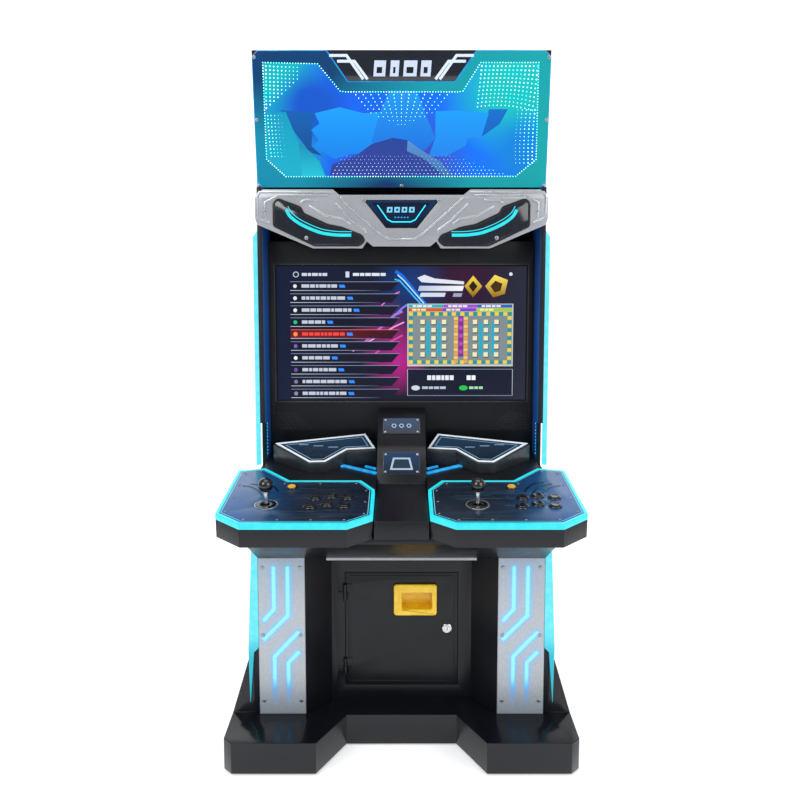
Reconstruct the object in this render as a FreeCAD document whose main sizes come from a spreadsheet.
import FreeCAD, Part
import os
import re
import Sketcher

# Two-player stand-up arcade cabinet.
# Millimetres. X to the right, Y to the back, Z up. The origin is on the floor, under the middle
# of the cabinet. In the sizes, every "..._back" is a distance behind the front edge of the
# control panels, and every height is above the floor.
SIZES = {
    "depth": 800, "overshoot": 1,
    # plinth and feet
    "plinth_half_width": 436, "plinth_front": 95, "plinth_height": 85, "floor_gap": 6,
    "plinth_sheet": 3, "plinth_corner": 22, "recess_back": 224, "recess_half_width": 141,
    "foot_inner": 208, "skirt_height": 226, "skirt_lean": 42, "skirt_front_back": 237,
    "runner_across": 320, "runner_width": 40, "runner_height": 32,
    "runner_front_back": 130, "runner_rear_back": 770, "foot_setback": 34,
    "foot_radius": 22, "foot_thickness": 10, "stem_radius": 5, "stem_length": 60,
    "nut_radius": 9, "nut_height": 8, "thread_clearance": 0.05,
    # side panels and rear
    "side_outer": 379, "side_thickness": 15, "leg_back": 234, "shelf_rear_back": 347,
    "deck_height": 693, "side_step_back": 415, "side_step_height": 814, "side_upper_back": 385,
    "side_height": 1440, "rear_back": 785, "rear_bend_height": 1000, "rear_top_back": 700,
    "rear_thickness": 12,
    # lower front: leg casings and the wall around the coin door
    "casing_thickness": 12, "casing_height": 500, "casing_inner": 246, "door_wall_back": 315,
    "door_wall_half_width": 185, "cover_thickness": 5, "cover_outer": 365, "leg_screw_edge": 12,
    "leg_screw_low": 121, "leg_screw_middle": 296, "leg_screw_high": 474,
    # coin door
    "door_width": 297, "door_height": 308, "door_bottom": 120, "door_depth": 15,
    "door_sheet": 3, "door_gap": 1.5, "knuckle_radius": 5, "knuckle_length": 22,
    "knuckle_stand_off": 5, "leaf_width": 19, "leaf_thickness": 2, "hinge_pin_radius": 2.5,
    "hinge_clearance": 0.05, "hinge_inset": 30,
    "cup_across": 36.5, "cup_height": 355.5, "cup_width": 114, "cup_tall": 85,
    "cup_proud": 8, "cup_corner": 8, "pocket_across": 40.5, "pocket_height": 353,
    "pocket_width": 79, "pocket_tall": 44, "pocket_depth": 40, "pocket_wall": 3,
    "pocket_clearance": 0.5,
    "lock_inset": 27.5, "lock_height": 275, "lock_flange_radius": 13.5, "lock_flange": 4,
    "lock_barrel_radius": 9, "lock_barrel": 25, "lock_plug_radius": 7, "lock_clearance": 0.05,
    "plug_proud": 1, "keyway_width": 2, "keyway_depth": 6, "keyway_tall": 8,
    "cam_length": 40, "cam_width": 12, "cam_thickness": 3, "cam_heel": 8,
    # control panels
    "console_height": 662, "console_tilt": 7, "tray_depth": 59, "tray_floor": 3,
    "tray_front_outer": 367, "tray_front_inner": 123, "tray_outer": 431, "tray_outer_front": 55,
    "tray_outer_rear": 325, "tray_taper": 4, "tray_rear": 340, "tray_rear_corner": 358,
    "tray_notch_corner": 284, "tray_back": 256, "tray_chamfer_corner": 102, "tray_inner": 66,
    "tray_inner_rear": 196, "tray_inner_front": 45, "tray_centre": 250,
    "strip_width": 8, "strip_height": 15, "tray_wall": 4, "plate_thickness": 3, "fit_gap": 0.3,
    # action and start buttons
    "button_rim_radius": 16.5, "button_rim_height": 3,
    "button_barrel_radius": 14, "button_cap_radius": 12, "start_rim_radius": 14,
    "start_barrel_radius": 12, "start_cap_radius": 10, "barrel_length": 24, "cap_proud": 5.5,
    "cap_below": 8, "cap_clearance": 0.1, "stem_tip": 20.5, "button_stem_radius": 3,
    "barrel_clearance": 0.1, "guide_thickness": 2, "start_across": 23, "start_along": 209,
    "switch_length": 20,
    "switch_width": 10, "switch_height": 14, "switch_reach": 17, "switch_side": 6,
    # joysticks
    "stick_across": 70, "stick_along": 104, "stick_hole_radius": 12, "pivot_depth": 18,
    "ball_radius": 17.5, "ball_height": 50, "shaft_radius": 4, "shaft_tip": 46,
    "washer_radius": 25, "washer_hole_radius": 9, "washer_thickness": 1.5,
    "gimbal_outer": 16, "gimbal_inner": 12, "gimbal_height": 8, "trunnion_radius": 3,
    "trunnion_reach": 26, "hub_radius": 7, "hub_height": 10, "hub_pin_radius": 2.5, "hub_pin_gap": 0.5,
    "housing_width": 80, "housing_length": 60, "housing_height": 34, "housing_bore": 22,
    # centre console and deck
    "shelf_front_back": 50, "apron_flat": 35, "shelf_thickness": 12, "apron_inner_back": 231,
    "cheek": 12,
    "tower_half_width": 64, "tower_sheet": 3, "tower_front_back": 46, "tower_rear_back": 468,
    "badge_drop": 16, "badge_lip_back": 272, "badge_back": 277, "badge_foot": 696, "badge_run": 34,
    "badge_rise": 63,
    "panel_back": 362, "panel_foot": 786, "panel_run": 40, "panel_rise": 42, "panel_lip_run": 33,
    "panel_lip_drop": 16, "tower_top_rise": 14, "tower_rear_height": 760,
    "badge_plate_width": 96, "panel_plate_width": 100, "plate_margin": 0.08,
    "console_plate_thickness": 2, "deck_drop": 1, "deck_sheet": 3, "deck_rear": 471,
    "deck_clearance": 3,
    "card_tilt": 20, "card_height": 774, "card_rear_back": 440, "card_wall": 3,
    "card_raise": 90, "trim_inset": 2, "trim_width": 6, "trim_thickness": 2,
    # screen
    "surround_back": 470, "surround_thickness": 6, "surround_bottom": 720,
    "surround_top": 1300, "screen_width": 698, "screen_bottom": 857, "screen_top": 1239,
    "glass_thickness": 4, "glass_gap": 0.3, "monitor_margin": 14, "monitor_depth": 60,
    # speaker panel
    "speaker_panel_back": 352, "speaker_panel_sheet": 3, "speaker_panel_bottom": 1280,
    "speaker_panel_half_width": 378, "window_thickness": 4,
    "window_back": 1.5, "window_lap": 2.5,
    "speaker_across": 215, "speaker_height": 1332, "speaker_radius": 36, "speaker_depth": 26,
    "badge_half_width": 98, "badge_half_base": 40, "badge_bottom": 1332, "badge_top": 1404,
    "badge_pane_width": 184, "badge_pane_height": 74, "badge_pane": 2,
    # header
    "header_half_width": 382, "header_wall": 12, "header_bottom_back": 424,
    "header_top_back": 364, "header_top": 1782, "header_rear_bottom_back": 700,
    "header_rear_top_back": 660, "marquee_thickness": 5, "marquee_rise": 2, "marquee_corner": 16,
    "notch_top": 190, "notch_bottom": 137, "notch_depth": 76, "notch_gap": 0.5,
    "name_plate_proud": 1, "marquee_screw_middle": 175, "marquee_screw_high": 330,
    # light bars along the sides
    "light_thickness": 12, "light_width": 14, "light_bottom": 700, "light_top": 1328,
    "lower_light_top": 520, "lower_light_knee": 262, "lower_light_tip": 115,
    "lower_light_depth": 8, "lower_light_gap": 1, "lower_light_head": 2, "lower_light_flare": 13,
    "lower_light_foot": 10, "lower_light_return": 12, "light_slant": 18,
    # rear door, inlet and inner units
    "rear_door_width": 457, "rear_door_height": 697, "rear_door_bottom": 161.5,
    "rear_door_depth": 12, "rear_door_sheet": 2, "slot_count": 8, "slot_pitch": 24,
    "slot_height": 6, "slot_width": 260, "slot_bottom": 600, "latch_across": 200,
    "latch_height": 510, "latch_reach": 4, "latch_head_radius": 12, "latch_head": 3,
    "inlet_across": 300, "inlet_height": 190, "inlet_width": 56, "inlet_tall": 70,
    "inlet_flange": 3, "inlet_depth": 40, "socket_width": 27, "socket_tall": 20,
    "socket_depth": 18, "socket_drop": 14, "rocker_raise": 18, "rocker_radius": 8,
    "rocker_length": 19, "rocker_clearance": 0.1, "rocker_sink": 3, "rocker_flat": 2,
    "pin_pitch": 7, "pin_width": 2, "pin_length": 14, "pin_tall": 4, "board_across": 110,
    "board_back": 560,
    "board_width": 240, "board_length": 200, "board_height": 45, "supply_across": 340,
    "supply_back": 600,
    "supply_width": 150, "supply_length": 140, "supply_height": 86,
    "cash_back": 345, "cash_width": 240, "cash_length": 200, "cash_height": 100, "cash_sheet": 2,
    "screw_head_radius": 5, "screw_head": 2, "screw_radius": 2.5, "screw_length": 14,
    "screw_clearance": 0.05,
}
SIDES = {"left": -1, "right": 1}
# Places of the action buttons: across from a panel's centre and along it from its front edge.
BUTTONS = {"back": ((42, 143), (79, 155), (119, 147)), "front": ((34, 94), (73, 107), (113, 98))}
LEG_SCREW_HEIGHTS = ("leg_screw_low", "leg_screw_middle", "leg_screw_high")
LOCK_ACROSS = "door_width/2-lock_inset"
# Corners in plan of a card holder: across and behind the front edge.
CARD_HOLDER = ((67, 368), (98, 440), (345, 394), (241, 306), (198, 308), (144, 362))
# Corners of the right half of the speaker shell, and of its window: inward from the shell's outer
# side and up from its bottom.
SPEAKER_SHELL = ((304, 5), (288, 18), (276, 0), (149, 0), (5, 61), (0, 76), (0, 130), (20, 151),
                 (201, 151), (218, 137))
SPEAKER_WINDOW = ((153, 8), (49, 58), (49, 117), (60, 126), (117, 105), (125, 89), (187, 60), (224, 53),
                  (275, 33), (282, 20), (269, 8))
UP, ACROSS, BACKWARD = "0;0;1", "1;0;0", "0;1;0"

doc = FreeCAD.newDocument("ArcadeCabinet")
sheet = doc.addObject("Spreadsheet::Sheet", "Sizes")
nodes = []


def fill_sheet():
    """Write every driving size into its own cell, under its own alias."""
    for row, (alias, size) in enumerate(SIZES.items(), 1):
        sheet.set(f"A{row}", alias)
        sheet.set(f"B{row}", str(size))
        sheet.setAlias(f"B{row}", alias)
    doc.recompute()


def formula(text):
    """Turn size names into references to the sheet's cells."""
    return re.sub(r"[a-z]\w+", lambda word: "Sizes." + word[0] if word[0] in SIZES else word[0], str(text))


def number(text):
    """Work out a formula's present value."""
    result = sheet.evalExpression(formula(text))
    return float(getattr(result, "Value", result))


# ---------------------------------------------------------------- building blocks

def node(name, item):
    """Name a finished sub-part: the name is its file's name too."""
    item.Label = name
    nodes.append(item)
    return item


def make(kind, name, **sizes):
    item = doc.addObject(kind, name)
    for prop, text in sizes.items():
        item.setExpression(prop, formula(text))
    return item


def place(item, across, back, height, axis=UP, angle="0"):
    """Put an item at a distance behind the front edge, turned about an axis."""
    item.setExpression("Placement", formula(
        f"placement(vector({across};({back})-depth/2;{height});rotation(vector({axis});{angle}))"))
    return item


def place_on_console(item, across, along, above):
    """Put an item on the tilted plane of the control panels; above is measured square to it."""
    return place(item, across, f"({along})*cos(console_tilt)-({above})*sin(console_tilt)",
                 f"console_height+({along})*sin(console_tilt)+({above})*cos(console_tilt)",
                 ACROSS, "console_tilt")


def box(across, back, height, length, width, tall):
    return place(make("Part::Box", "Block", Length=length, Width=width, Height=tall), across, back, height)


def cylinder(radius, length):
    return make("Part::Cylinder", "Rod", Radius=radius, Height=length)


def rod_back(across, back, height, radius, length):
    """A cylinder that runs backwards from its front end."""
    return place(cylinder(radius, length), across, back, height, ACROSS, "-90")


def rod_up(across, back, height, radius, length):
    return place(cylinder(radius, length), across, back, height)


def console_rod(across, along, above, radius, length):
    return place_on_console(cylinder(radius, length), across, along, above)


def console_box(across, along, above, length, width, tall):
    return place_on_console(make("Part::Box", "Block", Length=length, Width=width, Height=tall),
                            across, along, above)


def fuse(*items):
    joined = doc.addObject("Part::MultiFuse", "Joined")
    joined.Shapes = list(items)
    return joined


def group(*items):
    """Separate solids under one name."""
    together = doc.addObject("Part::Compound", "Group")
    together.Links = list(items)
    return together


def cut(base, *tools):
    result = doc.addObject("Part::Cut", "Cut")
    result.Base = base
    result.Tool = tools[0] if len(tools) == 1 else fuse(*tools)
    return result


def draw(sketch, points):
    """A closed outline whose corners are all dimensioned from the sketch's origin."""
    corners = [FreeCAD.Vector(number(u), number(v), 0) for u, v in points]
    lines = [Part.LineSegment(a, b) for a, b in zip(corners, corners[1:] + corners[:1])]
    first = sketch.GeometryCount
    for line in lines:
        sketch.addGeometry(line)
    for index, (u, v) in enumerate(points):
        here, after = first + index, first + (index + 1) % len(points)
        sketch.addConstraint(Sketcher.Constraint("Coincident", here, 2, after, 1))
        for kind, text in (("DistanceX", u), ("DistanceY", v)):
            key = sketch.addConstraint(Sketcher.Constraint(kind, -1, 1, here, 1, number(text)))
            sketch.setExpression(f"Constraints[{key}]", formula(text))
    return sketch


def draw_circle(sketch, u, v, radius):
    index = sketch.addGeometry(Part.Circle(FreeCAD.Vector(number(u), number(v), 0),
                                           FreeCAD.Vector(0, 0, 1), number(radius)))
    for kind, text in (("DistanceX", u), ("DistanceY", v)):
        key = sketch.addConstraint(Sketcher.Constraint(kind, -1, 1, index, 3, number(text)))
        sketch.setExpression(f"Constraints[{key}]", formula(text))
    key = sketch.addConstraint(Sketcher.Constraint("Radius", index, number(radius)))
    sketch.setExpression(f"Constraints[{key}]", formula(radius))


def outline(points):
    return draw(doc.addObject("Sketcher::SketchObject", "Outline"), points)


def inset(profile, distance):
    """The same outline drawn a distance inside."""
    smaller = make("Part::Offset2D", "Inset", Value=f"-({distance})")
    smaller.Source = profile
    smaller.Join = 2
    return smaller


def extrude(profile, length):
    solid = make("Part::Extrusion", "Prism", LengthFwd=length)
    solid.Base = profile
    solid.DirMode = "Custom"
    solid.Dir = FreeCAD.Vector(0, 0, 1)
    solid.Solid = True
    return solid


def plan_prism(points, height, tall):
    """Plan outline (across, back), extruded upwards."""
    shifted = [(across, f"({back})-depth/2") for across, back in points]
    return place(extrude(outline(shifted), tall), 0, "depth/2", height)


def side_prism(points, across, length):
    """Side outline (back, height), extruded to the right."""
    shifted = [(f"({back})-depth/2", height) for back, height in points]
    prism = extrude(outline(shifted), length)
    prism.setExpression("Placement", formula(
        f"placement(vector({across};0;0);rotation(vector(1;1;1);120))"))
    return prism


def front_prism(points, back, length):
    """Front outline (across, height), extruded backwards from the named distance."""
    prism = extrude(outline(points), length)
    return place(prism, 0, f"({back})+({length})", 0, ACROSS, "90")


def mirrored(points):
    """Complete a symmetrical outline from its right half, listed from bottom to top."""
    return list(points) + [(f"-({u})", v) for u, v in reversed(points)]


def padded(name, points, length, corner=None):
    """A PartDesign plate: an outline on the body's own XZ plane, padded towards the back."""
    body = doc.addObject("PartDesign::Body", name)
    plane = next(item for item in body.Origin.OriginFeatures if item.Role == "XZ_Plane")
    sketch = body.newObject("Sketcher::SketchObject", name + "Sketch")
    sketch.AttachmentSupport = [(plane, "")]
    sketch.MapMode = "FlatFace"
    draw(sketch, points)
    pad = body.newObject("PartDesign::Pad", name + "Pad")
    pad.Profile = sketch
    pad.Reversed = True
    pad.setExpression("Length", formula(length))
    doc.recompute()
    if corner:
        upright = [f"Edge{i + 1}" for i, edge in enumerate(pad.Shape.Edges)
                   if abs(edge.tangentAt(edge.FirstParameter).y) > 0.99]
        fillet = body.newObject("PartDesign::Fillet", name + "Corners")
        fillet.Base = (pad, upright)
        fillet.setExpression("Radius", formula(corner))
        doc.recompute()
    return body, plane


def pocketed(body, plane, outlines, circles, length, start="0"):
    """Cut outlines and circles through a padded plate, from a depth behind its front."""
    before = body.Shape.Volume
    sketch = body.newObject("Sketcher::SketchObject", body.Name + "Cutout")
    sketch.AttachmentSupport = [(plane, "")]
    sketch.MapMode = "FlatFace"
    sketch.setExpression("AttachmentOffset.Base.z", formula(f"-({start})"))
    for points in outlines:
        draw(sketch, points)
    for circle in circles:
        draw_circle(sketch, *circle)
    pocket = body.newObject("PartDesign::Pocket", body.Name + "Pocket")
    pocket.Profile = sketch
    pocket.Reversed = False
    pocket.setExpression("Length", formula(length))
    doc.recompute()
    if body.Shape.Volume >= before:
        raise RuntimeError(f"{body.Name}: the pocket removed nothing")
    return body


def rectangle(across, height, width, tall):
    """Corners of a rectangle from its centre, anticlockwise."""
    left, right = f"({across})-({width})/2", f"({across})+({width})/2"
    low, high = f"({height})-({tall})/2", f"({height})+({tall})/2"
    return [(left, low), (right, low), (right, high), (left, high)]


def slope(back, drop="0"):
    """Height of a plane parallel to the control panels, a square distance below them."""
    return f"console_height-({drop})/cos(console_tilt)+({back})*tan(console_tilt)"


# ---------------------------------------------------------------- plinth, feet and skirts

def plinth_outline():
    half = [("recess_half_width", "recess_back"), ("foot_inner", "plinth_front"),
            ("plinth_half_width-plinth_corner", "plinth_front"),
            ("plinth_half_width", "plinth_front+plinth_corner"), ("plinth_half_width", "depth")]
    return mirrored(half)


def skirt(side):
    """A sheet that flares from the side panel out to the plinth's edge, with an end gusset."""
    foot, top = "plinth_half_width", "plinth_half_width-skirt_lean"
    sheet_points = [(foot, "plinth_height"), (top, "skirt_height"),
                    (f"{top}-plinth_sheet", "skirt_height"), (f"{foot}-plinth_sheet", "plinth_height")]
    gusset_points = [("side_outer", "plinth_height"), (foot, "plinth_height"),
                     (top, "skirt_height"), ("side_outer", "skirt_height")]
    handed = [[(f"{side}*({u})", v) for u, v in points] for points in (sheet_points, gusset_points)]
    long_sheet = front_prism(handed[0], "skirt_front_back", "rear_back-skirt_front_back")
    return fuse(long_sheet, front_prism(handed[1], "skirt_front_back", "plinth_sheet"))


def base_plinth():
    """A sheet-steel box, open underneath, with both skirts welded to its top."""
    outer = plan_prism(plinth_outline(), "floor_gap", "plinth_height-floor_gap")
    profile = inset(outer.Base, "plinth_sheet")
    hollow = place(extrude(profile, "plinth_height-floor_gap-plinth_sheet"), 0, "depth/2", "floor_gap")
    return fuse(cut(outer, hollow), *[skirt(side) for side in SIDES.values()])


def foot_places():
    for side in SIDES.values():
        for back in ("runner_front_back+foot_setback", "runner_rear_back-foot_setback"):
            yield f"{side}*runner_across", back


def base_runners():
    """Steel bars under the plinth's top sheet that take the feet's threads."""
    top = "plinth_height-plinth_sheet"
    bars = []
    for side in SIDES.values():
        bar = box(f"{side}*runner_across-runner_width/2", "runner_front_back", f"{top}-runner_height",
                  "runner_width", "runner_rear_back-runner_front_back", "runner_height")
        holes = [rod_up(across, back, f"{top}-runner_height", "stem_radius", "runner_height")
                 for across, back in foot_places() if across.startswith(str(side) + "*")]
        bars.append(cut(bar, *holes))
    return group(*bars)


def levelling_feet():
    """Four threaded feet, each with its lock nut."""
    pieces = []
    nut_bottom = "plinth_height-plinth_sheet-runner_height-nut_height"
    for across, back in foot_places():
        pad = rod_up(across, back, 0, "foot_radius", "foot_thickness")
        stem = rod_up(across, back, "foot_thickness", "stem_radius-thread_clearance", "stem_length")
        nut = rod_up(across, back, nut_bottom, "nut_radius", "nut_height")
        pieces += [fuse(pad, stem), cut(nut, rod_up(across, back, nut_bottom, "stem_radius", "nut_height"))]
    return group(*pieces)


# ---------------------------------------------------------------- sides, rear and lower front

def side_panel(side):
    tray_bottom = "tray_depth"
    points = [("leg_back", "plinth_height"), ("leg_back", slope("leg_back", tray_bottom)),
              ("shelf_rear_back", slope("shelf_rear_back", tray_bottom)),
              ("shelf_rear_back", "deck_height"), ("side_step_back", "deck_height"),
              ("side_step_back", "side_step_height"), ("side_upper_back", "side_step_height"),
              ("side_upper_back", "side_height"), ("rear_top_back", "side_height"),
              ("rear_back", "rear_bend_height"), ("rear_back", "plinth_height")]
    across = "side_outer-side_thickness" if side > 0 else "-side_outer"
    return side_prism(points, across, "side_thickness")


def rear_panel():
    """A bent panel between the sides, with the service doorway and the inlet's cut-out."""
    points = [("rear_back", "plinth_height"), ("rear_back", "rear_bend_height"),
              ("rear_top_back", "side_height"), ("rear_top_back-rear_thickness", "side_height"),
              ("rear_back-rear_thickness", "rear_bend_height"),
              ("rear_back-rear_thickness", "plinth_height")]
    inner = "side_outer-side_thickness"
    panel = side_prism(points, f"-({inner})", f"2*({inner})")
    doorway = box("-rear_door_width/2-door_gap", "rear_back-2*rear_thickness",
                  "rear_door_bottom-door_gap", "rear_door_width+2*door_gap", "3*rear_thickness",
                  "rear_door_height+2*door_gap")
    inlet = box("-inlet_across-inlet_width/2+inlet_flange", "rear_back-2*rear_thickness",
                "inlet_height-inlet_tall/2+inlet_flange", "inlet_width-2*inlet_flange",
                "3*rear_thickness", "inlet_tall-2*inlet_flange")
    knuckles = [rear_knuckle(height, True) for height in rear_hinge_heights()]
    return fuse(cut(panel, doorway, inlet), *knuckles)


def casing_line(offset):
    """Right half of the lower front in plan, a wall thickness further in for the inner face."""
    return [("side_outer-side_thickness", f"leg_back+{offset}"),
            (f"casing_inner+{offset}/2", f"leg_back+{offset}"),
            (f"door_wall_half_width+{offset}/2", f"door_wall_back+{offset}")]


def lower_front():
    """Both leg casings and the wall around the coin door, as one folded panel."""
    outer, inner = casing_line("0"), casing_line("casing_thickness")
    ring = outer + [(f"-({u})", v) for u, v in reversed(outer)]
    ring += [(f"-({u})", v) for u, v in inner] + list(reversed(inner))
    wall = plan_prism(ring, "plinth_height", "casing_height-plinth_height")
    doorway = box("-door_width/2-door_gap", "door_wall_back-casing_thickness", "door_bottom-door_gap",
                  "door_width+2*door_gap", "3*casing_thickness", "door_height+2*door_gap")
    holes = [rod_back(across, "leg_back-overshoot", height, "screw_radius", "screw_length")
             for across, height in leg_screw_places()]
    knuckles = [front_knuckle(height, True) for height in front_hinge_heights()]
    return fuse(cut(wall, doorway, *holes), *knuckles)


def leg_screw_places():
    for side in SIDES.values():
        for across in ("casing_inner+leg_screw_edge", "cover_outer-leg_screw_edge"):
            for height in LEG_SCREW_HEIGHTS:
                yield f"{side}*({across})", height


def leg_cover(side):
    """Flat plate on the front of one leg, drilled for its six screws."""
    edges = [f"{side}*casing_inner", f"{side}*cover_outer"]
    low, high = edges if side > 0 else edges[::-1]
    body, plane = padded("LegCover", [(low, "plinth_height"), (high, "plinth_height"),
                                      (high, "casing_height"), (low, "casing_height")],
                         "cover_thickness")
    circles = [(across, height, "screw_radius") for across, height in leg_screw_places()
               if across.startswith(str(side) + "*")]
    pocketed(body, plane, [], circles, "cover_thickness")
    return place(body, 0, "leg_back-cover_thickness", 0)


def apron():
    """Board under the control panels, folded down and back to the top of the lower front."""
    shelf, rear = "shelf_front_back", "shelf_rear_back"
    top, under = "tray_depth", "tray_depth+shelf_thickness"
    fold = f"{shelf}+apron_flat"
    edge = "casing_height+shelf_thickness"
    points = [(shelf, slope(shelf, top)), (rear, slope(rear, top)), (rear, slope(rear, under)),
              (fold, slope(fold, under)), ("apron_inner_back", edge),
              ("door_wall_back+casing_thickness", edge),
              ("door_wall_back+casing_thickness", "casing_height"), ("recess_back", "casing_height"),
              (shelf, slope(shelf, under))]
    inner = "side_outer-side_thickness"
    board = side_prism(points, f"-({inner})", f"2*({inner})")
    cheek = [(shelf, slope(shelf, top)), ("leg_back", slope("leg_back", top)),
             ("leg_back", "casing_height"), ("recess_back", "casing_height"),
             (shelf, slope(shelf, under))]
    return fuse(board, side_prism(cheek, f"-({inner})", "cheek"),
                side_prism(cheek, f"{inner}-cheek", "cheek"))


# ---------------------------------------------------------------- coin door

def front_hinge_heights():
    return ("door_bottom+hinge_inset", "door_bottom+door_height-hinge_inset-2*knuckle_length")


def rear_hinge_heights():
    return ("rear_door_bottom+hinge_inset",
            "rear_door_bottom+rear_door_height-hinge_inset-2*knuckle_length")


def knuckle(across, back, height, reach, face, pin):
    """A rolled knuckle with its leaf; the fixed one carries the pin, the other turns on it."""
    barrel = rod_up(across, back, height, "knuckle_radius", "knuckle_length")
    start = across if reach > 0 else f"{across}-leaf_width"
    leaf = box(start, face, height, "leaf_width", "leaf_thickness", "knuckle_length")
    rolled = fuse(barrel, leaf)
    if pin:
        return fuse(rolled, rod_up(across, back, height, "hinge_pin_radius", "2*knuckle_length"))
    bore = rod_up(across, back, height, "hinge_pin_radius+hinge_clearance", "knuckle_length")
    return cut(rolled, bore)


def front_knuckle(height, fixed):
    lift = "0" if fixed else "knuckle_length+hinge_clearance"
    return knuckle("-door_width/2-door_gap/2", "door_wall_back-knuckle_stand_off", f"{height}+{lift}",
                   -1 if fixed else 1, "door_wall_back-leaf_thickness", fixed)


def rear_knuckle(height, fixed):
    lift = "0" if fixed else "knuckle_length+hinge_clearance"
    return knuckle("rear_door_width/2+door_gap/2", "rear_back+knuckle_stand_off", f"{height}+{lift}",
                   1 if fixed else -1, "rear_back", fixed)


def door_tray(name, width, tall, bottom, depth, wall):
    """A sheet-metal door: a plate with its edges folded back."""
    middle = f"({bottom})+({tall})/2"
    body, plane = padded(name, rectangle("0", middle, width, tall), depth)
    return pocketed(body, plane, [rectangle("0", middle, f"{width}-2*({wall})", f"{tall}-2*({wall})")],
                    [], f"({depth})-({wall})", wall)


def coin_door():
    body = door_tray("CoinDoor", "door_width", "door_height", "door_bottom", "door_depth", "door_sheet")
    place(body, 0, "door_wall_back", 0)
    window = box("pocket_across-pocket_width/2-pocket_wall-pocket_clearance", "door_wall_back-overshoot",
                 "pocket_height-pocket_tall/2-pocket_wall-pocket_clearance",
                 "pocket_width+2*pocket_wall+2*pocket_clearance", "door_sheet+2*overshoot",
                 "pocket_tall+2*pocket_wall+2*pocket_clearance")
    lock = rod_back(LOCK_ACROSS, "door_wall_back-overshoot", "lock_height",
                    "lock_barrel_radius+lock_clearance", "door_sheet+2*overshoot")
    knuckles = [front_knuckle(height, False) for height in front_hinge_heights()]
    return fuse(cut(body, window, lock), *knuckles)


def coin_return_cup():
    """Moulded bezel with a pocket that reaches back through the door."""
    body, plane = padded("CoinCup", rectangle("cup_across", "cup_height", "cup_width", "cup_tall"),
                         "cup_proud", "cup_corner")
    mouth = rectangle("pocket_across", "pocket_height", "pocket_width", "pocket_tall")
    pocketed(body, plane, [mouth], [], "cup_proud")
    place(body, 0, "door_wall_back-cup_proud", 0)
    shell = box("pocket_across-pocket_width/2-pocket_wall", "door_wall_back",
                "pocket_height-pocket_tall/2-pocket_wall", "pocket_width+2*pocket_wall",
                "pocket_depth-cup_proud+pocket_wall", "pocket_tall+2*pocket_wall")
    space = box("pocket_across-pocket_width/2", "door_wall_back", "pocket_height-pocket_tall/2",
                "pocket_width", "pocket_depth-cup_proud", "pocket_tall")
    return fuse(body, cut(shell, space))


def door_lock():
    flange = rod_back(LOCK_ACROSS, "door_wall_back-lock_flange", "lock_height",
                      "lock_flange_radius", "lock_flange")
    barrel = rod_back(LOCK_ACROSS, "door_wall_back", "lock_height", "lock_barrel_radius", "lock_barrel")
    bore = rod_back(LOCK_ACROSS, "door_wall_back-lock_flange", "lock_height",
                    "lock_plug_radius+lock_clearance", "lock_flange+lock_barrel")
    return cut(fuse(flange, barrel), bore)


def cam_plate(across, back, height):
    """Flat latch plate that stands up when the lock is open."""
    return box(f"{across}-cam_width/2", back, f"{height}-cam_heel", "cam_width", "cam_thickness",
               "cam_length")


def door_lock_plug():
    plug = rod_back(LOCK_ACROSS, "door_wall_back-lock_flange-plug_proud", "lock_height", "lock_plug_radius",
                    "lock_flange+lock_barrel+plug_proud+lock_clearance")
    keyway = box(f"{LOCK_ACROSS}-keyway_width/2", "door_wall_back-lock_flange-plug_proud",
                 "lock_height-keyway_tall/2", "keyway_width", "keyway_depth", "keyway_tall")
    plate = cam_plate(LOCK_ACROSS, "door_wall_back+lock_barrel+lock_clearance", "lock_height")
    return fuse(cut(plug, keyway), plate)


# ---------------------------------------------------------------- control panels

def tray_outline(side):
    half = [("tray_front_inner", "0"), ("tray_front_outer", "0"), ("tray_outer", "tray_outer_front"),
            ("tray_outer-tray_taper", "tray_outer_rear"), ("tray_rear_corner", "tray_rear"),
            ("tray_notch_corner", "tray_back"), ("tray_chamfer_corner", "tray_back"),
            ("tray_inner", "tray_inner_rear"), ("tray_inner", "tray_inner_front")]
    return outline([(f"{side}*({u})", v) for u, v in half])


def on_console(profile, above, tall):
    return place_on_console(extrude(profile, tall), 0, 0, above)


def control_box(side):
    """Folded tray: full width below, stepped in above to carry the light strip."""
    rim = "strip_width+fit_gap"
    lower = on_console(inset(tray_outline(side), "fit_gap"), "-tray_depth", "tray_depth-strip_height")
    upper = on_console(inset(tray_outline(side), rim), "-strip_height", "strip_height-plate_thickness")
    space = on_console(inset(tray_outline(side), f"{rim}+tray_wall"), "tray_floor-tray_depth",
                       "tray_depth-tray_floor")
    return cut(fuse(lower, upper), space)


def control_light(side):
    band = on_console(tray_outline(side), "-strip_height", "strip_height")
    return cut(band, on_console(inset(tray_outline(side), "strip_width"), "-strip_height", "strip_height"))


def button_places(side):
    """Centre of each action button, measured along the tilted panel."""
    for row, places in BUTTONS.items():
        for column, (across, along) in enumerate(places, 1):
            yield f"{row}_{column}", f"{side}*tray_centre+{across}", str(along)


def start_place(side):
    return f"{side}*(tray_centre+start_across)", "start_along"


def stick_place(side):
    return f"{side}*tray_centre-stick_across", "stick_along"


def control_plate(side):
    plate = on_console(inset(tray_outline(side), "strip_width+fit_gap"), "-plate_thickness",
                       "plate_thickness")
    thick = "plate_thickness"
    holes = [console_rod(u, v, f"-{thick}", "button_barrel_radius+barrel_clearance", thick)
             for _, u, v in button_places(side)]
    u, v = start_place(side)
    holes.append(console_rod(u, v, f"-{thick}", "start_barrel_radius+barrel_clearance", thick))
    u, v = stick_place(side)
    holes.append(console_rod(u, v, f"-{thick}", "stick_hole_radius", thick))
    return cut(plate, *holes)


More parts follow.
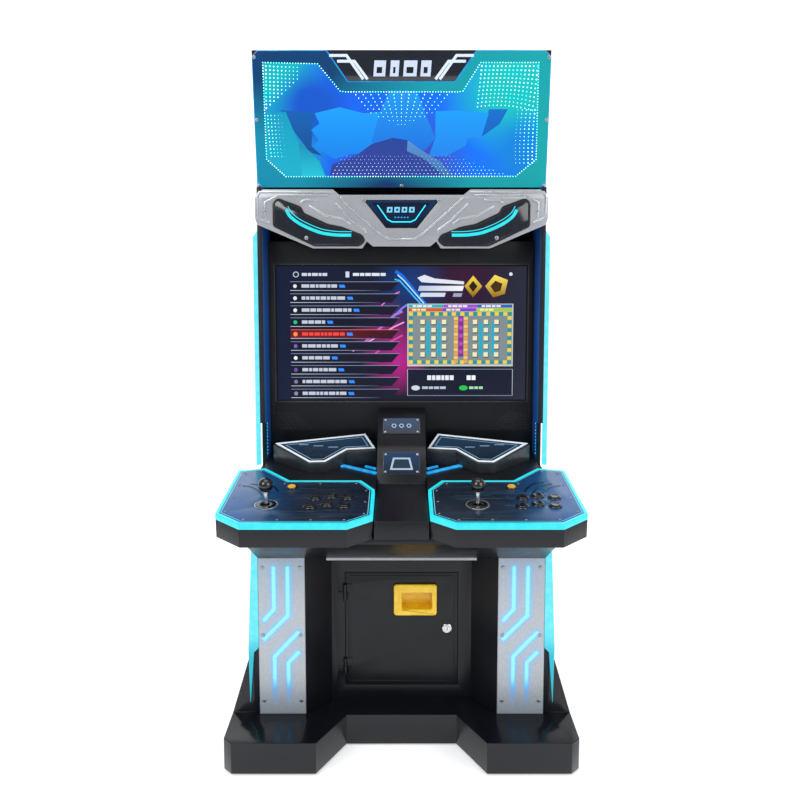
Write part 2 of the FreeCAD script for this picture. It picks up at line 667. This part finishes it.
def button_housing(u, v, rim, barrel, cap):
    flange = console_rod(u, v, "0", rim, "button_rim_height")
    tube = console_rod(u, v, "-barrel_length", barrel, "barrel_length")
    bore = console_rod(u, v, "-barrel_length+guide_thickness", cap,
                       "barrel_length+button_rim_height-guide_thickness")
    guide = console_rod(u, v, "-barrel_length", "2*button_stem_radius", "guide_thickness")
    return cut(fuse(flange, tube), bore, guide)


def button_plunger(u, v, cap):
    head = console_rod(u, v, "button_rim_height-cap_below", f"{cap}-cap_clearance",
                       "cap_below+cap_proud-button_rim_height")
    stem = console_rod(u, v, "-stem_tip", "button_stem_radius",
                       "stem_tip+button_rim_height-cap_below")
    return fuse(head, stem)


def button_housings():
    housings = []
    for side in SIDES.values():
        housings += [button_housing(u, v, "button_rim_radius", "button_barrel_radius",
                                    "button_cap_radius") for _, u, v in button_places(side)]
        housings.append(button_housing(*start_place(side), "start_rim_radius",
                                       "start_barrel_radius", "start_cap_radius"))
    return group(*housings)


def microswitches():
    """One under each button and four around each joystick's lower end."""
    switches = []
    for side in SIDES.values():
        spots = [(u, v) for _, u, v in button_places(side)] + [start_place(side)]
        for u, v in spots:
            switches.append(console_box(f"{u}-switch_length/2", f"{v}-switch_width/2",
                                        "-barrel_length-switch_height", "switch_length",
                                        "switch_width", "switch_height"))
        u, v = stick_place(side)
        top = "-plate_thickness-housing_height-switch_width"
        for step in (-1, 1):
            switches.append(console_box(f"{u}-switch_length/2",
                                        f"{v}+{step}*switch_reach-switch_side/2", top,
                                        "switch_length", "switch_side", "switch_width"))
            switches.append(console_box(f"{u}+{step}*switch_reach-switch_side/2",
                                        f"{v}-switch_length/2", top, "switch_side",
                                        "switch_length", "switch_width"))
    return group(*switches)


# ---------------------------------------------------------------- joysticks

def cross_rod(u, v, above, axis, radius, length):
    """A rod centred on the joystick, lying across the panel or along it."""
    rod = cylinder(radius, length)
    lift_back, lift_up = "-({0})*sin(console_tilt)", "({0})*cos(console_tilt)"
    if axis == "across":
        u = f"{u}-({length})/2"
        turn = "rotation(vector(1;0;0);console_tilt)*rotation(vector(0;1;0);90)"
    else:
        v = f"({v})-({length})/2"
        turn = "rotation(vector(1;0;0);console_tilt-90)"
    back = f"({v})*cos(console_tilt)" + lift_back.format(above)
    height = f"console_height+({v})*sin(console_tilt)+" + lift_up.format(above)
    rod.setExpression("Placement", formula(
        f"placement(vector({u};({back})-depth/2;{height});{turn})"))
    return rod


def joystick_housing(side):
    """Block under the panel that carries the gimbal's trunnions, and the dust washer on top."""
    u, v = stick_place(side)
    bottom = "-plate_thickness-housing_height"
    block = console_box(f"{u}-housing_width/2", f"{v}-housing_length/2", bottom, "housing_width",
                        "housing_length", "housing_height")
    well = console_rod(u, v, bottom, "housing_bore", "housing_height")
    bearing = cross_rod(u, v, "-pivot_depth", "across", "trunnion_radius+hinge_clearance",
                        "2*(trunnion_reach+hub_pin_gap)")
    washer = cut(console_rod(u, v, "0", "washer_radius", "washer_thickness"),
                 console_rod(u, v, "0", "washer_hole_radius", "washer_thickness"))
    return [cut(block, well, bearing), washer]


def joystick_ring(side):
    """Gimbal ring: its trunnions turn in the housing, and the lever's pins turn in it."""
    u, v = stick_place(side)
    bottom = "-pivot_depth-gimbal_height/2"
    ring = fuse(console_rod(u, v, bottom, "gimbal_outer", "gimbal_height"),
                cross_rod(u, v, "-pivot_depth", "across", "trunnion_radius", "2*trunnion_reach"))
    return cut(ring, console_rod(u, v, bottom, "gimbal_inner", "gimbal_height"),
               cross_rod(u, v, "-pivot_depth", "along", "hub_pin_radius+hinge_clearance",
                         "2*(gimbal_outer+hub_pin_gap)"))


def joystick_lever(side):
    u, v = stick_place(side)
    shaft = console_rod(u, v, "-shaft_tip", "shaft_radius", "shaft_tip+ball_height")
    hub = console_rod(u, v, "-pivot_depth-hub_height/2", "hub_radius", "hub_height")
    pin = cross_rod(u, v, "-pivot_depth", "along", "hub_pin_radius", "2*(gimbal_outer-hub_pin_gap)")
    ball = place_on_console(make("Part::Sphere", "Ball", Radius="ball_radius"), u, v, "ball_height")
    return fuse(shaft, hub, pin, ball)


# ---------------------------------------------------------------- centre console and deck

def tower_points():
    """Profile of the centre console, rising in steps from the panels to the screen."""
    return [("tower_front_back", slope("tower_front_back", "tray_depth")),
            ("tower_front_back", slope("tower_front_back", "badge_drop")),
            ("badge_lip_back", slope("badge_lip_back", "badge_drop")),
            ("badge_back", "badge_foot"), ("badge_back+badge_run", "badge_foot+badge_rise"),
            ("panel_back-panel_lip_run", "panel_foot-panel_lip_drop"), ("panel_back", "panel_foot"),
            ("panel_back+panel_run", "panel_foot+panel_rise"),
            ("tower_rear_back", "panel_foot+panel_rise+tower_top_rise"),
            ("tower_rear_back", "tower_rear_height"),
            ("shelf_rear_back", "surround_bottom"),
            ("shelf_rear_back", slope("shelf_rear_back", "tray_depth"))]


def console_tower():
    """Folded cover, open at the back and underneath."""
    outer = side_prism(tower_points(), "-tower_half_width", "2*tower_half_width")
    shifted = [(f"{back}+tower_sheet", f"{height}-tower_sheet") for back, height in tower_points()]
    inner = side_prism(shifted, "tower_sheet-tower_half_width", "2*tower_half_width-2*tower_sheet")
    return cut(outer, inner)


def sloping_plate(width, run, rise, back, foot):
    """A plate centred on one of the console's sloping faces, clear of the folds above and below."""
    length = f"sqrt(({run})^2+({rise})^2)"
    plate = make("Part::Box", "Plate", Length=width, Width=f"(1-2*plate_margin)*{length}",
                 Height="console_plate_thickness")
    return place(plate, f"-({width})/2", f"{back}+plate_margin*({run})",
                 f"{foot}+plate_margin*({rise})", ACROSS,
                 f"atan(({rise})/({run}))/1deg")


def console_plates():
    """Two badge plates on the console's sloping faces."""
    return group(sloping_plate("badge_plate_width", "badge_run", "badge_rise", "badge_back", "badge_foot"),
                 sloping_plate("panel_plate_width", "panel_run", "panel_rise", "panel_back", "panel_foot"))


def deck_panel(side):
    """Sheet behind one control panel, out to the side panel and back to the screen."""
    gap = "deck_clearance"
    half = [("tower_half_width", "tray_inner_rear+2*deck_clearance"),
            ("tray_chamfer_corner", f"tray_back+{gap}"), ("tray_notch_corner", f"tray_back+{gap}"),
            ("side_outer-side_thickness", f"tray_rear+4*{gap}"),
            ("side_outer-side_thickness", "deck_rear"), ("tower_half_width", "deck_rear")]
    profile = outline([(f"{side}*({u})", v) for u, v in half])
    return on_console(profile, "-deck_drop-deck_sheet", "deck_sheet")


def card_outline(side, slant):
    """Plan of one card holder; slant stretches it along its own tilt."""
    return outline([(f"{side}*{u}", f"({v}-card_rear_back)/cos({slant})") for u, v in CARD_HOLDER])


def card_block(side, margin, drop):
    """A straight-sided block cut off by the holder's sloping top plane."""
    profile = card_outline(side, "console_tilt")
    if margin:
        profile = inset(profile, margin)
    block = on_console(profile, "-deck_drop", "card_raise")
    block = place_on_console(block, 0, "card_rear_back/cos(console_tilt)", "-deck_drop")
    lid = place(make("Part::Box", "Lid", Length="2*side_outer", Width="side_outer", Height="2*card_raise"),
                "-side_outer", f"card_rear_back-side_outer/2*cos(card_tilt)+({drop})*sin(card_tilt)",
                f"card_height-side_outer/2*sin(card_tilt)-({drop})*cos(card_tilt)", ACROSS, "card_tilt")
    return cut(block, lid)


def card_holder(side):
    return cut(card_block(side, None, "0"), card_block(side, "card_wall", "card_wall"))


def card_trim(side):
    """Frame around the card window, flat on the holder's sloping top."""
    ring = []
    for margin in ("trim_inset", "trim_inset+trim_width"):
        band = extrude(inset(card_outline(side, "card_tilt"), margin), "trim_thickness")
        ring.append(place(band, 0, "card_rear_back", "card_height", ACROSS, "card_tilt"))
    return cut(*ring)


# ---------------------------------------------------------------- screen

def opening_box(back, margin, thick):
    return box(f"-screen_width/2-({margin})", back, f"screen_bottom-({margin})",
               f"screen_width+2*({margin})", thick, f"screen_top-screen_bottom+2*({margin})")


def screen_surround():
    inner = "side_outer-side_thickness"
    plate = box(f"-({inner})", "surround_back", "surround_bottom", f"2*({inner})",
                "surround_thickness", "surround_top-surround_bottom")
    return cut(plate, opening_box("surround_back", "0", "surround_thickness"))


def screen_glass():
    return opening_box("surround_back+surround_thickness-glass_thickness", "-glass_gap", "glass_thickness")


def monitor():
    return opening_box("surround_back+surround_thickness", "monitor_margin", "monitor_depth")


# ---------------------------------------------------------------- speaker panel

def speaker_outline():
    return mirrored([(f"speaker_panel_half_width-{inward}", f"speaker_panel_bottom+{up}")
                     for inward, up in SPEAKER_SHELL])


def window_points(side):
    return [(f"{side}*(speaker_panel_half_width-{inward})", f"speaker_panel_bottom+{up}")
            for inward, up in SPEAKER_WINDOW]


def badge_points(margin):
    half = [(f"badge_half_base-{margin}", f"badge_bottom+{margin}"),
            (f"badge_half_width-2*{margin}", f"badge_top-{margin}")]
    return mirrored(half)


def speaker_panel():
    """Shell in front of the side panels, with two speaker windows and a badge window."""
    depth = "side_upper_back-speaker_panel_back"
    outer = front_prism(speaker_outline(), "speaker_panel_back", depth)
    wall = "speaker_panel_sheet"
    hollow = place(extrude(inset(outline(speaker_outline()), wall), f"{depth}-{wall}"), 0,
                   "side_upper_back", 0, ACROSS, "90")
    windows = [front_prism(window_points(side), "speaker_panel_back", wall) for side in SIDES.values()]
    return cut(outer, hollow, *windows, front_prism(badge_points("0"), "speaker_panel_back", wall))


def speaker_windows():
    """Grille panes let into the panel's two windows, and the badge pane between them."""
    panes = [place(extrude(inset(outline(window_points(side)), "fit_gap"), "window_thickness"), 0,
                   "speaker_panel_back+speaker_panel_sheet", 0, ACROSS, "90")
             for side in SIDES.values()]
    backs = [place(extrude(inset(outline(window_points(side)), "-window_lap"), "window_back"), 0,
                   "speaker_panel_back+speaker_panel_sheet+window_back", 0, ACROSS, "90")
             for side in SIDES.values()]
    badge = front_prism(rectangle("0", "(badge_bottom+badge_top)/2", "badge_pane_width",
                                  "badge_pane_height"),
                        "speaker_panel_back+speaker_panel_sheet", "badge_pane")
    return group(*[fuse(pane, back) for pane, back in zip(panes, backs)], badge)


def speaker(side):
    """Round driver: a wide basket with its magnet behind."""
    front = "speaker_panel_back+speaker_panel_sheet+window_back"
    across = f"{side}*speaker_across"
    basket = rod_back(across, front, "speaker_height", "speaker_radius", "speaker_depth/2")
    magnet = rod_back(across, f"{front}+speaker_depth/2", "speaker_height", "speaker_radius/2",
                      "speaker_depth/2")
    return fuse(basket, magnet)


# ---------------------------------------------------------------- header

def header_box():
    """Box with an open front that leans forward."""
    wall = "header_wall"
    points = [("header_bottom_back", "side_height"), ("header_rear_bottom_back", "side_height"),
              ("header_rear_top_back", "header_top"), ("header_top_back", "header_top")]
    hollow = [(f"header_bottom_back-2*{wall}", f"side_height+{wall}"),
              (f"header_rear_bottom_back-{wall}", f"side_height+{wall}"),
              (f"header_rear_top_back-{wall}", f"header_top-{wall}"),
              (f"header_top_back-2*{wall}", f"header_top-{wall}")]
    outer = side_prism(points, "-header_half_width", "2*header_half_width")
    inner = side_prism(hollow, f"{wall}-header_half_width", f"2*header_half_width-2*{wall}")
    bores = [on_header(cylinder("screw_radius", "screw_length"), across, up, "-screw_length")
             for across, up in marquee_screw_places()]
    return cut(outer, inner, *bores)


HEADER_LEAN = "(atan((header_bottom_back-header_top_back)/(header_top-side_height))/1deg)"


def on_header(item, across, up, proud):
    """Put an item on the leaning front: up along it, proud square to it, its Z facing forward."""
    back = f"header_bottom_back-({up})*sin({HEADER_LEAN})-({proud})*cos({HEADER_LEAN})"
    height = f"side_height+({up})*cos({HEADER_LEAN})-({proud})*sin({HEADER_LEAN})"
    return place(item, across, back, height, ACROSS, f"90+{HEADER_LEAN}")


HEADER_LENGTH = f"(header_top-side_height)/cos({HEADER_LEAN})"


def notch_points(margin):
    """Right half of the notch at the panel's top."""
    return [(f"notch_bottom-({margin})", f"{HEADER_LENGTH}-notch_depth+({margin})"),
            (f"notch_top-({margin})", HEADER_LENGTH)]


def marquee_panel():
    half = [("header_half_width", "marquee_rise"),
            ("header_half_width", f"{HEADER_LENGTH}-marquee_corner"),
            ("header_half_width-marquee_corner", HEADER_LENGTH)] + notch_points("0")[::-1]
    panel = on_header(extrude(outline(mirrored(half)), "marquee_thickness"), 0, 0, "0")
    holes = [on_header(cylinder("screw_radius", "marquee_thickness"), across, up, "0")
             for across, up in marquee_screw_places()]
    return cut(panel, *holes)


def name_plate():
    """Black plate that fills the notch."""
    plate = extrude(outline(mirrored(notch_points("notch_gap"))), "marquee_thickness+name_plate_proud")
    return on_header(plate, 0, 0, "0")


def marquee_screw_places():
    edge = "header_half_width-header_wall/2"
    for side in SIDES.values():
        for up in ("header_wall/2", "marquee_screw_middle", "marquee_screw_high"):
            yield f"{side}*({edge})", up
    yield "0", "header_wall/2"


# ---------------------------------------------------------------- lights

def side_lights():
    """Acrylic bars outside the upper sides, and tapered strips down the front of the legs."""
    bars = []
    for side in SIDES.values():
        outer = "side_outer+light_thickness"
        bar = [("side_outer", "light_bottom"), (outer, "light_bottom"), (outer, "light_top-light_slant"),
               ("side_outer", "light_top")]
        inner = "cover_outer+lower_light_gap"
        strip = [(inner, "lower_light_top"), ("side_outer+lower_light_head", "lower_light_top"),
                 ("side_outer+lower_light_flare", "lower_light_knee"),
                 ("side_outer+lower_light_foot", "lower_light_tip"),
                 ("side_outer-lower_light_gap", "lower_light_knee-lower_light_return"),
                 (inner, "lower_light_knee")]
        bars.append(front_prism([(f"{side}*({u})", v) for u, v in bar], "side_upper_back", "light_width"))
        bars.append(front_prism([(f"{side}*({u})", v) for u, v in strip],
                                "leg_back-lower_light_depth", "lower_light_depth"))
    return group(*bars)


# ---------------------------------------------------------------- rear door, inlet, inner units

def rear_door():
    """Louvred tray door on the back, hung on the right when seen from the front."""
    body = door_tray("RearDoor", "rear_door_width", "rear_door_height", "rear_door_bottom",
                     "rear_door_depth", "rear_door_sheet")
    place(body, 0, "rear_back", 0, UP, "180")
    slots = [box("-slot_width/2", "rear_back-rear_door_sheet-overshoot", f"slot_bottom+{index}*slot_pitch",
                 "slot_width", "rear_door_sheet+2*overshoot", "slot_height")
             for index in range(SIZES["slot_count"])]
    bore = rod_back("-latch_across", "rear_back-rear_door_sheet-overshoot", "latch_height",
                    "lock_plug_radius+lock_clearance", "rear_door_sheet+2*overshoot")
    knuckles = [rear_knuckle(height, False) for height in rear_hinge_heights()]
    return fuse(cut(body, *slots, bore), *knuckles)


def rear_latch():
    """Quarter-turn latch: a head outside, a stem through the door and a cam inside."""
    inside = "rear_back-rear_thickness-latch_reach"
    stem = rod_back("-latch_across", inside, "latch_height", "lock_plug_radius",
                    "rear_thickness+latch_reach")
    head = rod_back("-latch_across", "rear_back", "latch_height", "latch_head_radius", "latch_head")
    return fuse(stem, head, cam_plate("-latch_across", f"{inside}-cam_thickness", "latch_height"))


def power_inlet():
    """Mains inlet with its own switch well: flange, body, recess and three pins."""
    across, low = "-inlet_across-inlet_width/2", "inlet_height-inlet_tall/2"
    flange = box(across, "rear_back", low, "inlet_width", "inlet_flange", "inlet_tall")
    body = box(f"{across}+inlet_flange+fit_gap", "rear_back-inlet_depth", f"{low}+inlet_flange+fit_gap",
               "inlet_width-2*inlet_flange-2*fit_gap", "inlet_depth",
               "inlet_tall-2*inlet_flange-2*fit_gap")
    floor = "rear_back+inlet_flange-socket_depth"
    socket = box("-inlet_across-socket_width/2", floor, "inlet_height-socket_drop-socket_tall/2",
                 "socket_width", "socket_depth", "socket_tall")
    well = rocker_rod("rocker_radius+rocker_clearance", "rocker_length+4*rocker_clearance")
    pins = [box(f"-inlet_across+{step}*pin_pitch-pin_width/2", floor,
                "inlet_height-socket_drop-pin_tall/2", "pin_width", "pin_length", "pin_tall")
            for step in (-1, 0, 1)]
    return fuse(cut(fuse(flange, body), socket, well), *pins)


def rocker_rod(radius, length):
    return place(cylinder(radius, length), f"-inlet_across-({length})/2",
                 "rear_back+inlet_flange-rocker_sink", "inlet_height+rocker_raise", BACKWARD, "90")


def power_rocker():
    face = box("-inlet_across-rocker_length", "rear_back+inlet_flange+rocker_flat",
               "inlet_height+rocker_raise-2*rocker_radius", "2*rocker_length", "2*rocker_radius",
               "4*rocker_radius")
    return cut(rocker_rod("rocker_radius", "rocker_length"), face)


def cash_box():
    tray = box("-cash_width/2", "cash_back", "plinth_height", "cash_width", "cash_length", "cash_height")
    space = box("cash_sheet-cash_width/2", "cash_back+cash_sheet", "plinth_height+cash_sheet",
                "cash_width-2*cash_sheet", "cash_length-2*cash_sheet", "cash_height")
    return cut(tray, space)


def screws():
    """Pan-head screws of the leg covers and the marquee panel."""
    pieces = []
    for across, height in leg_screw_places():
        face = "leg_back-cover_thickness"
        head = rod_back(across, f"{face}-screw_head", height, "screw_head_radius", "screw_head")
        shank = rod_back(across, face, height, "screw_radius-screw_clearance", "screw_length")
        pieces.append(fuse(head, shank))
    for across, up in marquee_screw_places():
        head = on_header(cylinder("screw_head_radius", "screw_head"), across, up, "marquee_thickness")
        shank = on_header(cylinder("screw_radius-screw_clearance", "screw_length"), across, up,
                          "marquee_thickness-screw_length")
        pieces.append(fuse(head, shank))
    return group(*pieces)


# ---------------------------------------------------------------- the whole cabinet

def both(build):
    """A left-hand and a right-hand copy of one piece, under one name."""
    return group(*[build(side) for side in SIDES.values()])


def build_cabinet():
    node("base_plinth", base_plinth())
    node("base_runners", base_runners())
    node("levelling_feet", levelling_feet())
    for name, side in SIDES.items():
        node(f"side_panel_{name}", side_panel(side))
    node("rear_panel", rear_panel())
    node("lower_front", lower_front())
    node("leg_covers", both(leg_cover))
    node("apron", apron())


def build_front_door():
    node("coin_door", coin_door())
    node("coin_return_cup", coin_return_cup())
    node("door_lock", door_lock())
    node("door_lock_plug", door_lock_plug())


def build_controls():
    node("control_boxes", both(control_box))
    node("control_plates", both(control_plate))
    node("control_lights", both(control_light))
    node("button_housings", button_housings())
    node("microswitches", microswitches())
    node("joystick_housings", group(*joystick_housing(-1), *joystick_housing(1)))
    for name, side in SIDES.items():
        node(f"joystick_ring_{name}", joystick_ring(side))
        node(f"joystick_lever_{name}", joystick_lever(side))
        node(f"start_button_{name}", button_plunger(*start_place(side), "start_cap_radius"))
        for spot, u, v in button_places(side):
            node(f"button_{name}_{spot}", button_plunger(u, v, "button_cap_radius"))


def build_upper():
    node("console_tower", console_tower())
    node("console_plates", console_plates())
    node("deck_panels", both(deck_panel))
    node("card_holders", both(card_holder))
    node("card_trims", both(card_trim))
    node("screen_surround", screen_surround())
    node("screen_glass", screen_glass())
    node("monitor", monitor())
    node("speaker_panel", speaker_panel())
    node("speaker_windows", speaker_windows())
    node("speakers", both(speaker))
    node("header_box", header_box())
    node("marquee_panel", marquee_panel())
    node("name_plate", name_plate())
    node("side_lights", side_lights())


def build_service():
    node("rear_door", rear_door())
    node("rear_latch", rear_latch())
    node("power_inlet", power_inlet())
    node("power_rocker", power_rocker())
    node("game_board", box("board_across", "board_back", "plinth_height", "board_width", "board_length",
                           "board_height"))
    node("power_supply", box("-supply_across", "supply_back", "plinth_height", "supply_width",
                             "supply_length", "supply_height"))
    node("cash_box", cash_box())
    node("screws", screws())


def check():
    """Stop before anything is written if a feature failed or a shape is not sound."""
    for item in doc.Objects:
        if "Invalid" in item.State or "Error" in item.State:
            raise RuntimeError(f"{item.Label}: {item.State}")
    for item in nodes:
        if item.Shape.isNull() or not item.Shape.isValid() or not item.Shape.Solids:
            raise RuntimeError(f"{item.Label}: the shape is not sound")


fill_sheet()
build_cabinet()
build_front_door()
build_controls()
build_upper()
build_service()
doc.recompute()
check()
os.makedirs("parts", exist_ok=True)
for item in nodes:
    item.Shape.exportStep(f"parts/{item.Label}.step")
    print(item.Label, len(item.Shape.Solids), round(item.Shape.Volume))
print(len(nodes), "nodes")
